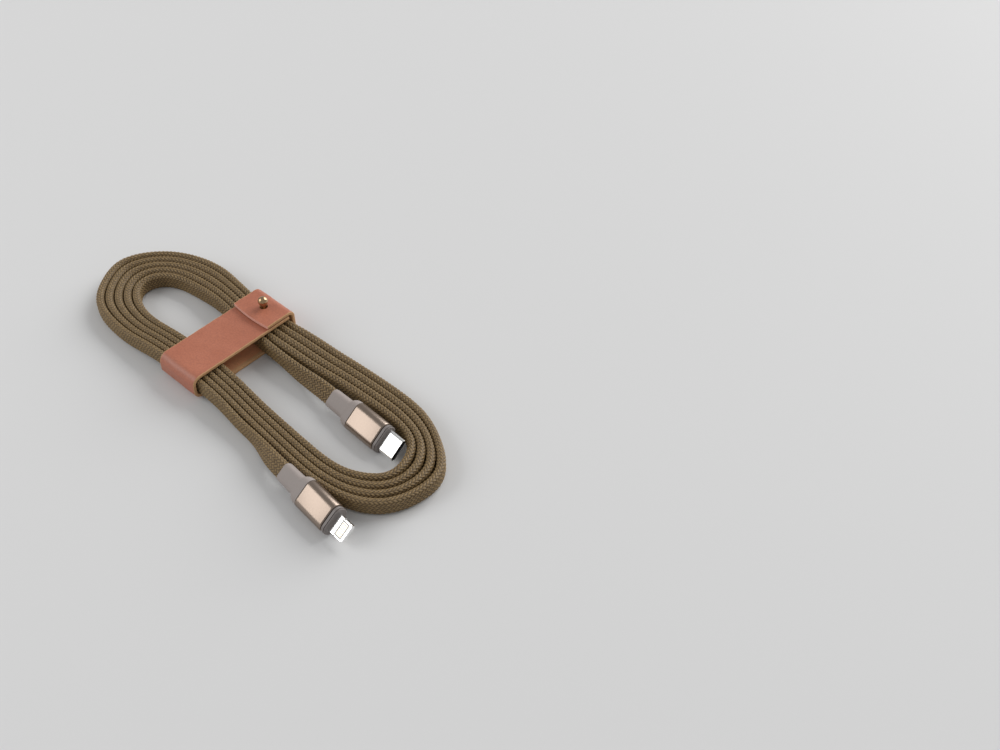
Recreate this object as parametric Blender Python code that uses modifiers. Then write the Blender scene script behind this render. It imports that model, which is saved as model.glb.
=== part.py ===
"""Charging cable: a flat braided cord wound on edge into a long hank, held by a leather strap that
closes over a ball stud, with a USB-C plug at one end and a flat eight-contact plug at the other.

Metres, +Z up. The hank lies along X on the floor at z = 0, with the plugs' tips towards +X.
Numbers below are millimetres until they pass through MM.
"""

import math

import bmesh
import bpy
import numpy as np
from mathutils import Matrix

MM = 0.001
GAP = 0.3  # between neighbouring pieces of the outer skin
FIT = 0.1  # between flat-faced pieces inside a plug

# Cord: a flat braid with round edges.
CORD_WIDTH = 6.4
CORD_THICKNESS = 3.2
SQUEEZED_THICKNESS = 2.4  # where the outer turn lies hard against the hank
BRAID_SQUEEZE = 0.97  # share of the pitch that a squeezed braid fills
TURNS_AT_LEFT = 5
TURNS_AT_RIGHT = 4
LEAD_STEP = 2.5
LEAD_THICKNESS = 2.7  # the USB-C lead, between the hank and its plug

# Hank: where its first turn and its fourth turn pass, station by station, counter-clockwise.
HANK_STATIONS = (
    ((-6.5, 9.8), (-6.5, 18.7)),
    ((-24.5, 10.3), (-24.5, 18.1)),
    ((-40.5, 11.4), (-41.0, 19.5)),
    ((-53.5, 10.4), (-55.0, 19.4)),
    ((-60.5, 8.2), (-66.8, 15.0)),
    ((-65.3, 4.1), (-74.7, 7.5)),
    ((-66.6, -1.3), (-77.6, -1.4)),
    ((-64.5, -5.8), (-74.1, -9.5)),
    ((-59.2, -9.3), (-66.8, -16.4)),
    ((-50.5, -11.3), (-54.0, -19.3)),
    ((-36.5, -10.9), (-38.0, -18.6)),
    ((-21.5, -9.4), (-21.5, -16.9)),
    ((-2.5, -9.1), (-2.5, -16.4)),
    ((20.5, -9.7), (20.5, -17.0)),
    ((40.5, -10.3), (40.5, -18.0)),
    ((55.5, -9.5), (58.5, -17.4)),
    ((64.0, -6.1), (72.0, -12.9)),
    ((68.5, -2.1), (78.6, -6.1)),
    ((70.2, 2.3), (81.3, 2.4)),
    ((69.2, 8.5), (80.4, 12.3)),
    ((64.3, 15.2), (72.2, 20.5)),
    ((54.1, 18.1), (58.2, 26.2)),
    ((41.5, 18.1), (42.5, 27.0)),
    ((23.5, 16.5), (23.5, 25.7)),
    ((7.5, 14.2), (7.5, 23.8)),
)
HANK_SECTIONS = 150
HANK_CHAMFER = 0.8
LEAD_LEAVES_AT = 17.0  # x where the last turn leaves the hank for its plug

# Strap: leather around both bundles, square to them.
STRAP_PLACE = (-17.0, 1.1)
STRAP_YAW = math.radians(2.5)
STRAP_WIDTH = 18.8
LEATHER = 1.4
STRAP_LEFT = -22.1  # inner faces of the leather across the hank
STRAP_RIGHT = 22.1
STRAP_BEND = 2.2  # the outer radius of its two lower bends
STRAP_TOP_BEND = 3.2
STRAP_SLIDE = 3.0
FLAP_END = 10.2
FLAP_HINGE = (22.8, 9.2)  # across the hank and up
FLAP_ROOT_RADIUS = 0.7
FLAP_SKIVE = (0.9, 0.6)  # pared off the band's outer corner, so that the opened flap's bend clears it
BAND_END = 20.8
LIFT_HALF_LENGTH = STRAP_WIDTH / 2 + STRAP_SLIDE + 1.6
LIFT_RUN = 22.0
CORD_LIFT = LEATHER + GAP
HANK_TOP = CORD_LIFT + CORD_WIDTH

# Ball stud, on the end of the band and through the flap's slot.
STUD_Y = 17.1
STUD_FLANGE_RADIUS = 1.75
STUD_FLANGE_HEIGHT = 0.5
STUD_NECK_RADIUS = 1.0
STUD_BALL_RADIUS = 1.85
STUD_BALL_HEIGHT = 4.1  # ball's centre above the band
STUD_BORE_RADIUS = 0.75
STUD_BORE_DEPTH = 3.4
SCREW_HEAD_RADIUS = 2.3
SCREW_HEAD_HEIGHT = 0.6
SLOT_NEAR = 13.2  # the slot's two ends across the hank: long enough for a stiff flap to swing over the ball
SLOT_FAR = 19.2
SLOT_RADIUS = 2.1

# Plugs: the origin is the front face of the collar, +X is the way the plug goes in.
HOUSING_WIDTH = 10.6
HOUSING_THICKNESS = 5.8
HOUSING_CORNER = 2.2
HOUSING_WALL = 0.6
HOUSING_LENGTH = 13.5
COLLAR_LENGTH = 2.1
COLLAR_INSET = 0.25  # the collar stands back from the housing's face on every side
BOOT_LENGTH = 12.0
BOOT_SHOULDER = 3.6
SHOULDER_SHAPE = ((0.0, 0.3, 0.3), (0.55, 0.5, 0.4), (0.85, 1.9, 0.9))  # how far along, narrower, thinner
BOOT_NECK = (7.2, 4.6)
BOOT_TIP = (6.9, 4.2)
BOOT_ROUNDING = 0.38  # corner radius as a share of the strain relief's thickness
PASSAGE = (5.2, 2.4)
MOULD_WALL = 0.3
CAN_WALL = 0.2
BOARD_WIDTH = 6.6
BOARD_THICKNESS = 0.6
CHIP_SIZE = (2.8, 2.8, 0.4)
CHIP_BEHIND = 1.8  # the chip's front edge behind the connector's rear end
WIRE_RADIUS = 0.4
WIRE_PITCH = 0.95
FERRULE_WALL = 0.25
FERRULE_LENGTH = 3.0
EXPOSED = 6.7

USB_C_PLACE = (57.3, 9.8, 4.75)
USB_C_TURN = (38.5, 0.0, -0.4)  # roll, nose-down and yaw, in degrees
TAB_PLACE = (72.4, -24.6, 5.1)
TAB_TURN = (39.8, 1.0, -3.2)

SHELL_WIDTH = 8.25
SHELL_THICKNESS = 2.4
SHELL_WALL = 0.25
CAVITY_WIDTH = 6.9
CAVITY_HEIGHT = 1.0
CONTACT_PITCH = 0.5
TAB_WIDTH = 6.7
TAB_THICKNESS = 1.5
WINDOW_WIDTH = 5.3
PAD_PITCH = 0.6
PAD_WIDTH = 0.36
PAD_LENGTH = 2.3

ALONG_X = (math.pi / 2, 0, math.pi / 2)  # turns a drawing's X, Y, Z into the parent's Y, Z, X


# ---------------------------------------------------------------- scene and materials

def clear_scene():
    for obj in list(bpy.data.objects):
        bpy.data.objects.remove(obj, do_unlink=True)


def collection(name, hidden=False):
    made = bpy.data.collections.new(name)
    made.hide_render = hidden
    bpy.context.scene.collection.children.link(made)
    return made


def material(name, colour, roughness, metallic=0.0):
    made = bpy.data.materials.new(name)
    made.use_nodes = True
    shader = made.node_tree.nodes["Principled BSDF"]
    shader.inputs["Base Color"].default_value = (*colour, 1.0)
    shader.inputs["Roughness"].default_value = roughness
    shader.inputs["Metallic"].default_value = metallic
    return made


clear_scene()
CABLE = collection("charging_cable")
CUTTERS = collection("cutters", hidden=True)
BRAID = ("braid", (0.19, 0.14, 0.08), 0.85)
LEATHER_TAN = ("leather", (0.42, 0.15, 0.09), 0.55)
BRASS = ("brass", (0.35, 0.22, 0.10), 0.35, 1.0)
ALUMINIUM = ("aluminium", (0.62, 0.46, 0.37), 0.35, 0.9)
STEEL = ("steel", (0.75, 0.75, 0.74), 0.25, 1.0)
RUBBER = ("rubber", (0.26, 0.21, 0.19), 0.6)
COLLAR_PLASTIC = ("collar_plastic", (0.12, 0.10, 0.09), 0.5)
BLACK_PLASTIC = ("black_plastic", (0.02, 0.02, 0.02), 0.5)
WHITE_PLASTIC = ("white_plastic", (0.8, 0.8, 0.78), 0.5)
GOLD = ("gold", (0.83, 0.61, 0.25), 0.25, 1.0)
BOARD_GREEN = ("board_green", (0.02, 0.13, 0.06), 0.5)
WIRE_COLOURS = {
    "red": (0.5, 0.02, 0.02),
    "black": (0.02, 0.02, 0.02),
    "green": (0.02, 0.25, 0.05),
    "white": (0.75, 0.75, 0.72),
}


def finish(obj, look, parent=None):
    """Gives a piece its own material and parent, and files it with the cable."""
    name, *values = look
    obj.data.materials.clear()
    obj.data.materials.append(material(f"{obj.name}_{name}", *values))
    obj.parent = parent
    if obj.name not in CABLE.objects:
        CABLE.objects.link(obj)
    return obj


def empty(name, place, turn=(0, 0, 0), parent=None):
    made = bpy.data.objects.new(name, None)
    made.location = [value * MM for value in place]
    made.rotation_euler = turn
    made.parent = parent
    CABLE.objects.link(made)
    return made


# ---------------------------------------------------------------- outlines and solids

def arc(centre, radius, start, end, steps):
    """Points on an arc, in degrees."""
    angles = np.radians(np.linspace(start, end, steps))
    return [(centre[0] + radius * math.cos(a), centre[1] + radius * math.sin(a)) for a in angles]


def rounded(width, height, radius, steps=5):
    """A rectangle with round corners, counter-clockwise about the origin."""
    x = width / 2 - radius
    y = height / 2 - radius
    points = []
    for corner, (sx, sy) in enumerate(((1, 1), (-1, 1), (-1, -1), (1, -1))):
        points += arc((sx * x, sy * y), radius, 90 * corner, 90 * corner + 90, steps)
    return points


def drawing(name, outlines, depth, edge=0.0):
    """A flat drawing, its holes included, thickened to depth about its own plane."""
    curve = bpy.data.curves.new(name, "CURVE")
    curve.dimensions = "2D"
    curve.fill_mode = "BOTH"
    curve.extrude = (depth / 2 - edge) * MM
    curve.bevel_depth = edge * MM
    curve.offset = -edge * MM
    curve.bevel_resolution = 1
    for points in outlines:
        spline = curve.splines.new("POLY")
        spline.points.add(len(points) - 1)
        spline.use_cyclic_u = True
        for point, (x, y) in zip(spline.points, points):
            point.co = (x * MM, y * MM, 0, 1)
    return bpy.data.objects.new(name, curve)


def prism(name, outlines, start, end, parent, look, edge=0.0):
    """A drawing in the parent's YZ plane, run from start to end along X."""
    obj = drawing(name, outlines, end - start, edge)
    obj.location = ((start + end) / 2 * MM, 0, 0)
    obj.rotation_euler = ALONG_X
    return finish(obj, look, parent)


def plate(name, outlines, low, high, parent, look, edge=0.0):
    """A drawing in the parent's XY plane, from height low to high."""
    obj = drawing(name, outlines, high - low, edge)
    obj.location = (0, 0, (low + high) / 2 * MM)
    return finish(obj, look, parent)


def as_mesh(obj):
    """The same piece as one welded mesh, so that it can be cut."""
    bpy.context.view_layer.update()
    graph = bpy.context.evaluated_depsgraph_get()
    mesh = bpy.data.meshes.new_from_object(obj.evaluated_get(graph))
    solid = bmesh.new()
    solid.from_mesh(mesh)
    bmesh.ops.remove_doubles(solid, verts=solid.verts, dist=0.001 * MM)
    bmesh.ops.recalc_face_normals(solid, faces=solid.faces)
    solid.to_mesh(mesh)
    solid.free()
    name, parent, place = obj.name, obj.parent, obj.matrix_world.copy()
    homes = list(obj.users_collection)
    bpy.data.objects.remove(obj, do_unlink=True)
    made = bpy.data.objects.new(name, mesh)
    for home in homes:
        home.objects.link(made)
    made.parent = parent
    made.matrix_world = place
    return made


def box(name, low, high, parent):
    """A box cutter between two corners of the parent's frame."""
    mesh = bpy.data.meshes.new(name)
    solid = bmesh.new()
    bmesh.ops.create_cube(solid, size=1.0)
    size = [(b - a) * MM for a, b in zip(low, high)]
    middle = [(a + b) / 2 * MM for a, b in zip(low, high)]
    bmesh.ops.scale(solid, vec=size, verts=solid.verts)
    bmesh.ops.translate(solid, vec=middle, verts=solid.verts)
    solid.to_mesh(mesh)
    solid.free()
    obj = bpy.data.objects.new(name, mesh)
    obj.parent = parent
    return obj


def block(name, low, high, parent, look):
    return finish(box(name, low, high, parent), look, parent)


def cut(piece, cutters):
    for cutter in cutters:
        if cutter.name not in CUTTERS.objects:
            CUTTERS.objects.link(cutter)
        cutter.hide_render = True
        cutter.display_type = "WIRE"
        modifier = piece.modifiers.new(cutter.name, "BOOLEAN")
        modifier.object = cutter
        modifier.operation = "DIFFERENCE"
        modifier.solver = "EXACT"
    return piece


def turned(name, profile, parent, look, steps=24):
    """A profile of (radius, height) points, outer side from top to bottom, turned about Z."""
    mesh = bpy.data.meshes.new(name)
    points = [(radius * MM, 0, height * MM) for radius, height in profile]
    count = len(points)
    mesh.from_pydata(points, [(i, (i + 1) % count) for i in range(count)], [])
    obj = bpy.data.objects.new(name, mesh)
    screw = obj.modifiers.new("turn", "SCREW")
    screw.angle = 2 * math.pi
    screw.steps = steps
    screw.render_steps = steps
    screw.use_merge_vertices = True
    screw.merge_threshold = 0.001 * MM
    screw.use_smooth_shade = True
    return finish(obj, look, parent)


# ---------------------------------------------------------------- the cord's route

def closed_spline(knots, values, places):
    """A smooth closed curve through the values, read at places from 0 to 1."""
    count = len(values)
    spans = np.diff(knots)
    slopes = (np.roll(values, -1, axis=0) - values) / spans[:, None]
    system = np.zeros((count, count))
    sides = np.zeros_like(values)
    for i in range(count):
        system[i, i - 1] += spans[i - 1]
        system[i, i] += 2 * (spans[i - 1] + spans[i])
        system[i, (i + 1) % count] += spans[i]
        sides[i] = 6 * (slopes[i] - slopes[i - 1])
    bends = np.linalg.solve(system, sides)
    places = np.asarray(places) % 1.0
    k = np.clip(np.searchsorted(knots, places, side="right") - 1, 0, count - 1)
    after = (k + 1) % count
    span = spans[k][:, None]
    t = (places - knots[k])[:, None]
    cubes = bends[k] * (span - t) ** 3 / (6 * span) + bends[after] * t**3 / (6 * span)
    near = (values[k] / span - bends[k] * span / 6) * (span - t)
    far = (values[after] / span - bends[after] * span / 6) * t
    return cubes + near + far


FIRST_TURN = np.array([first for first, _ in HANK_STATIONS])
FOURTH_TURN = np.array([fourth for _, fourth in HANK_STATIONS])
TURN_PITCH = (FOURTH_TURN - FIRST_TURN) / 3
MIDDLE = (FIRST_TURN + FOURTH_TURN) / 2
STEPS = np.linalg.norm(np.roll(MIDDLE, -1, axis=0) - MIDDLE, axis=1)
KNOTS = np.concatenate([[0.0], np.cumsum(STEPS)]) / STEPS.sum()


def wound(turns):
    """Where the cord's middle line is, in plan, after so many turns of the hank."""
    turns = np.atleast_1d(np.asarray(turns, float))
    start = closed_spline(KNOTS, FIRST_TURN - KNOTS[:-1, None] * TURN_PITCH, turns)
    return start + turns[:, None] * closed_spline(KNOTS, TURN_PITCH, turns)


def normals_at(turns):
    """Unit normals that point out of the hank, and the cord's thickness there."""
    step = 1e-4
    along = wound(turns + step) - wound(turns - step)
    along /= np.linalg.norm(along, axis=1)[:, None]
    outward = np.stack([along[:, 1], -along[:, 0]], axis=1)
    pitch = np.abs(np.sum(closed_spline(KNOTS, TURN_PITCH, turns) * outward, axis=1))
    outward *= np.sign(np.sum(closed_spline(KNOTS, TURN_PITCH, turns) * outward, axis=1))[:, None]
    return outward, np.minimum(CORD_THICKNESS, BRAID_SQUEEZE * pitch)


def lift(points):
    """How far the strap's lower layer raises the cord off the floor."""
    along = (points[:, 0] - STRAP_PLACE[0]) * math.cos(STRAP_YAW)
    along += (points[:, 1] - STRAP_PLACE[1]) * math.sin(STRAP_YAW)
    t = np.clip((np.abs(along) - LIFT_HALF_LENGTH) / LIFT_RUN, 0, 1)
    return CORD_LIFT * (1 - t * t * (3 - 2 * t))


def turn_where(start, end, x):
    """The number of turns between start and end at which the cord passes x."""
    turns = np.linspace(start, end, 4000)
    return turns[np.argmin(np.abs(wound(turns)[:, 0] - x))]


def smooth_path(points, step):
    """Evenly spaced points on a smooth curve through a few points of any width."""
    points = np.asarray(points, float)
    knots = np.concatenate([[0], np.cumsum(np.linalg.norm(np.diff(points[:, :3], axis=0), axis=1))])
    count = len(points)
    spans = np.diff(knots)
    slopes = np.diff(points, axis=0) / spans[:, None]
    system = np.eye(count)
    sides = np.zeros_like(points)
    for i in range(1, count - 1):
        system[i, i - 1 : i + 2] = spans[i - 1], 2 * (spans[i - 1] + spans[i]), spans[i]
        sides[i] = 6 * (slopes[i] - slopes[i - 1])
    bends = np.linalg.solve(system, sides)
    places = np.linspace(0, knots[-1], max(3, round(knots[-1] / step) + 1))
    k = np.clip(np.searchsorted(knots, places, side="right") - 1, 0, count - 2)
    span = spans[k][:, None]
    t = (places - knots[k])[:, None]
    cubes = bends[k] * (span - t) ** 3 / (6 * span) + bends[k + 1] * t**3 / (6 * span)
    near = (points[k] / span - bends[k] * span / 6) * (span - t)
    far = (points[k + 1] / span - bends[k + 1] * span / 6) * t
    return cubes + near + far


# ---------------------------------------------------------------- the cord

def hank_section(inner, outer, height):
    """The corners of the hank's section between its inner and outer face, with cut corners."""
    across = (outer - inner) / np.linalg.norm(outer - inner)
    c = HANK_CHAMFER
    low, high = height, height + CORD_WIDTH
    corners = (
        (inner, low + c), (inner + across * c, low), (outer - across * c, low), (outer, low + c),
        (outer, high - c), (outer - across * c, high), (inner + across * c, high), (inner, high - c),
    )
    return [(place[0] * MM, place[1] * MM, z * MM) for place, z in corners]


def cord_hank():
    """The wound turns as one ring: a loft, because its width changes and it arches over the strap."""
    leaves = turn_where(TURNS_AT_RIGHT + 0.5, TURNS_AT_RIGHT + 0.75, LEAD_LEAVES_AT) - TURNS_AT_RIGHT
    seam = 0.001
    turns = np.linspace(0, 1 - seam, HANK_SECTIONS)
    turns = np.sort(np.append(turns, [leaves, leaves + seam]))
    last = np.where(turns <= leaves, TURNS_AT_LEFT - 1, TURNS_AT_LEFT - 2)
    first_out, first_thick = normals_at(turns)
    last_out, last_thick = normals_at(turns + last)
    inner = wound(turns) - first_out * first_thick[:, None] / 2
    outer = wound(turns + last) + last_out * last_thick[:, None] / 2
    heights = lift((inner + outer) / 2)
    solid = bmesh.new()
    rings = [
        [solid.verts.new(corner) for corner in hank_section(a, b, h)]
        for a, b, h in zip(inner, outer, heights)
    ]
    for ring, after in zip(rings, rings[1:] + rings[:1]):
        for i in range(len(ring)):
            j = (i + 1) % len(ring)
            solid.faces.new((ring[i], ring[j], after[j], after[i]))
    bmesh.ops.recalc_face_normals(solid, faces=solid.faces)
    mesh = bpy.data.meshes.new("cord_hank")
    solid.to_mesh(mesh)
    solid.free()
    return finish(bpy.data.objects.new("cord_hank", mesh), BRAID)


def cord_lead(name, points, thickness):
    """A flat lead through points (x, y, z, roll); roll 0 lies flat and 90 stands on edge."""
    path = smooth_path(points, LEAD_STEP)
    curve = bpy.data.curves.new(name, "CURVE")
    curve.dimensions = "3D"
    curve.fill_mode = "FULL"
    curve.twist_mode = "Z_UP"
    curve.extrude = (CORD_WIDTH - thickness) / 2 * MM
    curve.bevel_depth = thickness / 2 * MM
    curve.bevel_resolution = 2
    curve.use_fill_caps = True
    spline = curve.splines.new("POLY")
    spline.points.add(len(path) - 1)
    for point, (x, y, z, roll) in zip(spline.points, path):
        point.co = (x * MM, y * MM, z * MM, 1)
        point.tilt = math.radians(90 - roll)
    return finish(bpy.data.objects.new(name, curve), BRAID)


# ---------------------------------------------------------------- plugs

def plug_frame(name, place, turn):
    roll, nose_down, yaw = (math.radians(angle) for angle in turn)
    frame = empty(name, place)
    turns = Matrix.Rotation(yaw, 4, "Z") @ Matrix.Rotation(nose_down, 4, "Y") @ Matrix.Rotation(roll, 4, "X")
    frame.rotation_euler = turns.to_euler()
    return frame


def behind_collar(distance):
    return -COLLAR_LENGTH - distance


def housing(prefix, frame):
    outer = rounded(HOUSING_WIDTH, HOUSING_THICKNESS, HOUSING_CORNER)
    inner = housing_bore(0)
    prism(f"{prefix}_housing", (outer, inner), behind_collar(HOUSING_LENGTH), behind_collar(0), frame,
          ALUMINIUM, edge=0.12)


def housing_bore(inset):
    """The outline of the housing's bore, or of a piece that stands inset from it."""
    wall = HOUSING_WALL + inset
    return rounded(HOUSING_WIDTH - 2 * wall, HOUSING_THICKNESS - 2 * wall, HOUSING_CORNER - wall)


def collar(prefix, frame, hole):
    width, thickness = HOUSING_WIDTH - 2 * COLLAR_INSET, HOUSING_THICKNESS - 2 * COLLAR_INSET
    outer = rounded(width, thickness, HOUSING_CORNER - COLLAR_INSET)
    prism(f"{prefix}_collar", (outer, hole), -COLLAR_LENGTH + GAP / 2, 0, frame, COLLAR_PLASTIC, edge=0.1)


def boot(prefix, frame):
    """The strain relief: a shoulder as wide as the housing, then a neck that tapers to the cord."""
    back = behind_collar(HOUSING_LENGTH + GAP / 2)
    end = back - BOOT_LENGTH
    edge = 0.3  # length of the rounding behind the shoulder and at the tip
    stations = [
        (back - share * BOOT_SHOULDER, HOUSING_WIDTH - narrower, HOUSING_THICKNESS - thinner)
        for share, narrower, thinner in SHOULDER_SHAPE
    ]
    stations += [
        (back - BOOT_SHOULDER - edge, *BOOT_NECK),
        (end + edge, *BOOT_TIP),
        (end, BOOT_TIP[0] - 0.5, BOOT_TIP[1] - 0.5),
    ]
    solid = bmesh.new()
    rings = []
    for x, width, height in stations:
        outline = rounded(width, height, height * BOOT_ROUNDING)
        rings.append([solid.verts.new((x * MM, y * MM, z * MM)) for y, z in outline])
    for ring, after in zip(rings, rings[1:]):
        for i in range(len(ring)):
            j = (i + 1) % len(ring)
            solid.faces.new((ring[i], ring[j], after[j], after[i]))
    solid.faces.new(rings[0])
    solid.faces.new(rings[-1])
    bmesh.ops.recalc_face_normals(solid, faces=solid.faces)
    mesh = bpy.data.meshes.new(f"{prefix}_strain_relief")
    solid.to_mesh(mesh)
    solid.free()
    piece = finish(bpy.data.objects.new(f"{prefix}_strain_relief", mesh), RUBBER, frame)
    passage = drawing(f"{prefix}_boot_passage", [rounded(*PASSAGE, 0.9)], BOOT_LENGTH + 2)
    passage.parent = frame
    passage.location = ((back - BOOT_LENGTH / 2) * MM, 0, 0)
    passage.rotation_euler = ALONG_X
    CUTTERS.objects.link(passage)
    cut(piece, [as_mesh(passage)])
    return end


def inside(prefix, frame, front):
    """Board, chip, can and potting shell behind the connector, whose rear end is at front."""
    rear = behind_collar(HOUSING_LENGTH - 0.4)
    can_inset = FIT + MOULD_WALL + FIT
    mould = (housing_bore(FIT), housing_bore(FIT + MOULD_WALL))
    can = (housing_bore(can_inset), housing_bore(can_inset + CAN_WALL))
    prism(f"{prefix}_inner_mould", mould, rear, behind_collar(0.2), frame, WHITE_PLASTIC)
    prism(f"{prefix}_shield_can", can, rear + 0.6, front - FIT, frame, STEEL)
    board_rear = rear + 1.2
    half_width, half = BOARD_WIDTH / 2, BOARD_THICKNESS / 2
    block(f"{prefix}_circuit_board", (board_rear, -half_width, -half), (front - FIT, half_width, half),
          frame, BOARD_GREEN)
    length, width, height = CHIP_SIZE
    chip_front = front - CHIP_BEHIND
    chip_low = half + FIT / 2
    block(f"{prefix}_controller_chip", (chip_front - length, -width / 2, chip_low),
          (chip_front, width / 2, chip_low + height), frame, BLACK_PLASTIC)
    return board_rear


def wires(prefix, frame, board_rear, end):
    """Four conductors from the board's rear pads through the ferrule to the end of the strain relief."""
    pad_height = BOARD_THICKNESS / 2 + WIRE_RADIUS + FIT / 2
    route = (
        (end + 0.4, 0), (board_rear - 3.2, 0), (board_rear - 2.2, 0.15),
        (board_rear - 1.0, pad_height - 0.12), (board_rear, pad_height), (board_rear + 1.3, pad_height),
    )
    for number, (colour, shade) in enumerate(WIRE_COLOURS.items()):
        y = (number - 1.5) * WIRE_PITCH
        curve = bpy.data.curves.new(f"{prefix}_wire_{colour}", "CURVE")
        curve.dimensions = "3D"
        curve.bevel_depth = WIRE_RADIUS * MM
        curve.bevel_resolution = 2
        curve.use_fill_caps = True
        spline = curve.splines.new("POLY")
        spline.points.add(len(route) - 1)
        for point, (x, z) in zip(spline.points, route):
            point.co = (x * MM, y * MM, z * MM, 1)
        finish(bpy.data.objects.new(curve.name, curve), (f"wire_{colour}", shade, 0.5), frame)
    width, height = PASSAGE[0] - 2 * FIT, PASSAGE[1] - 2 * FIT
    outer = rounded(width, height, 0.8)
    inner = rounded(width - 2 * FERRULE_WALL, height - 2 * FERRULE_WALL, 0.6)
    middle = behind_collar(HOUSING_LENGTH + BOOT_SHOULDER)
    prism(f"{prefix}_crimp_ferrule", (outer, inner), middle - FERRULE_LENGTH / 2, middle + FERRULE_LENGTH / 2,
          frame, STEEL)


def plug_body(prefix, frame, hole, front):
    housing(prefix, frame)
    collar(prefix, frame, hole)
    end = boot(prefix, frame)
    board_rear = inside(prefix, frame, front)
    wires(prefix, frame, board_rear, end)
    return end


def usb_c_plug():
    frame = plug_frame("usb_c_frame", USB_C_PLACE, USB_C_TURN)
    shell_rear = -4.4
    outer = rounded(SHELL_WIDTH, SHELL_THICKNESS, SHELL_THICKNESS / 2 - 0.01, 7)
    bore_width = SHELL_WIDTH - 2 * SHELL_WALL
    bore_height = SHELL_THICKNESS - 2 * SHELL_WALL
    bore = rounded(bore_width, bore_height, bore_height / 2 - 0.01, 7)
    prism("usb_c_shell", (outer, bore), shell_rear, EXPOSED, frame, STEEL, edge=0.06)
    core_outline = rounded(bore_width - 2 * FIT, bore_height - 2 * FIT, bore_height / 2 - FIT - 0.01, 7)
    core = as_mesh(prism("usb_c_insulator", (core_outline,), shell_rear, EXPOSED - 0.3, frame, BLACK_PLASTIC))
    cavity_back = 1.0
    half_width = CAVITY_WIDTH / 2
    half_height = CAVITY_HEIGHT / 2
    slit = 0.2
    cavity = box("usb_c_cavity_cutter", (cavity_back, -half_width, -half_height),
                 (EXPOSED + 1, half_width, half_height), frame)
    slot = box("usb_c_slit_cutter", (shell_rear - 1, -half_width, -slit),
               (cavity_back + 0.5, half_width, slit), frame)
    cut(core, [cavity, slot])
    for side, name in ((1, "usb_c_contacts_upper"), (-1, "usb_c_contacts_lower")):
        contact_row(name, side, frame, cavity_back, half_height)
    mid_plate(frame, shell_rear, cavity_back)
    hole = rounded(SHELL_WIDTH + 2 * FIT, SHELL_THICKNESS + 2 * FIT, SHELL_THICKNESS / 2 + FIT - 0.01, 7)
    return frame, plug_body("usb_c", frame, hole, shell_rear)


def contact_row(name, side, frame, back, half_height):
    """Twelve spring fingers in a row, held at their roots by one bar."""
    root = back + 0.2
    bar = root + 0.4
    tip = EXPOSED - 1.4
    count = 12
    half_finger = 0.125
    half_width = (count - 1) * CONTACT_PITCH / 2 + half_finger
    outline = [(root, -half_width), (root, half_width)]
    for number in reversed(range(count)):
        y = (number - (count - 1) / 2) * CONTACT_PITCH
        left, right = y + half_finger, y - half_finger
        outline += [(bar, left), (tip, left), (tip, right), (bar, right)]
    inner, outer = half_height - 0.15, half_height - 0.05
    low, high = (inner, outer) if side > 0 else (-outer, -inner)
    plate(name, (outline,), low, high, frame, GOLD)


def mid_plate(frame, rear, back):
    """The steel plate between the two rows, with a latch arm along each side of the cavity."""
    half = CAVITY_WIDTH / 2 - 0.1
    arm = 0.35
    tip = EXPOSED - 1.2
    outline = [
        (rear + 0.3, -half), (tip, -half), (tip, -half + arm), (back + 0.1, -half + arm),
        (back + 0.1, half - arm), (tip, half - arm), (tip, half), (rear + 0.3, half),
    ]
    plate("usb_c_mid_plate", (outline,), -0.1, 0.1, frame, STEEL)


def tab_plug():
    frame = plug_frame("tab_frame", TAB_PLACE, TAB_TURN)
    rear = -4.0
    half = TAB_WIDTH / 2
    corner = 1.0
    outline = [(rear, -half), (EXPOSED - corner, -half)]
    outline += arc((EXPOSED - corner, -half + corner), corner, -90, 0, 6)[1:]
    outline += arc((EXPOSED - corner, half - corner), corner, 0, 90, 6)
    outline.append((rear, half))
    window_back, window_front = EXPOSED - 4.2, EXPOSED - 1.1
    w = WINDOW_WIDTH / 2
    window = [(window_back, -w), (window_front, -w), (window_front, w), (window_back, w)]
    thick = TAB_THICKNESS / 2
    blade = as_mesh(plate("tab_plug_blade", (outline, window), -thick, thick, frame, STEEL, edge=0.12))
    notch_place, notch_radius = EXPOSED - 3.9, 0.5
    notches = []
    for side in (1, -1):
        notch = turned_cutter(f"tab_notch_{'left' if side > 0 else 'right'}", notch_radius, 4)
        notch.parent = frame
        notch.location = (notch_place * MM, side * (half + 0.15) * MM, 0)
        notches.append(notch)
    cut(blade, notches)
    carrier_half = w - FIT
    carrier = block("tab_plug_contact_carrier", (window_back + FIT, -carrier_half, -thick + 0.06),
                    (window_front - FIT, carrier_half, thick - 0.06), frame, BLACK_PLASTIC)
    pads = 8
    clearance = FIT / 2
    middle = (window_back + window_front) / 2
    back, front = middle - PAD_LENGTH / 2, middle + PAD_LENGTH / 2
    slots = []
    for number in range(pads):
        y = (number - (pads - 1) / 2) * PAD_PITCH
        right, left = y - PAD_WIDTH / 2, y + PAD_WIDTH / 2
        slots.append(box(f"tab_pad_cutter_{number + 1}", (back - clearance, right - clearance, -thick - 1),
                         (front + clearance, left + clearance, thick + 1), frame))
        block(f"tab_plug_contact_{number + 1}", (back, right, -thick + 0.02), (front, left, thick - 0.02),
              frame, GOLD)
    cut(carrier, slots)
    hole = rounded(TAB_WIDTH + 2 * FIT, TAB_THICKNESS + 2 * FIT, 0.3)
    return frame, plug_body("tab_plug", frame, hole, rear)


def turned_cutter(name, radius, height):
    """An upright cylinder cutter about its own origin."""
    mesh = bpy.data.meshes.new(name)
    solid = bmesh.new()
    bmesh.ops.create_cone(solid, cap_ends=True, segments=24, radius1=radius * MM, radius2=radius * MM,
                          depth=height * MM)
    solid.to_mesh(mesh)
    solid.free()
    return bpy.data.objects.new(name, mesh)


# ---------------------------------------------------------------- the strap

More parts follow.
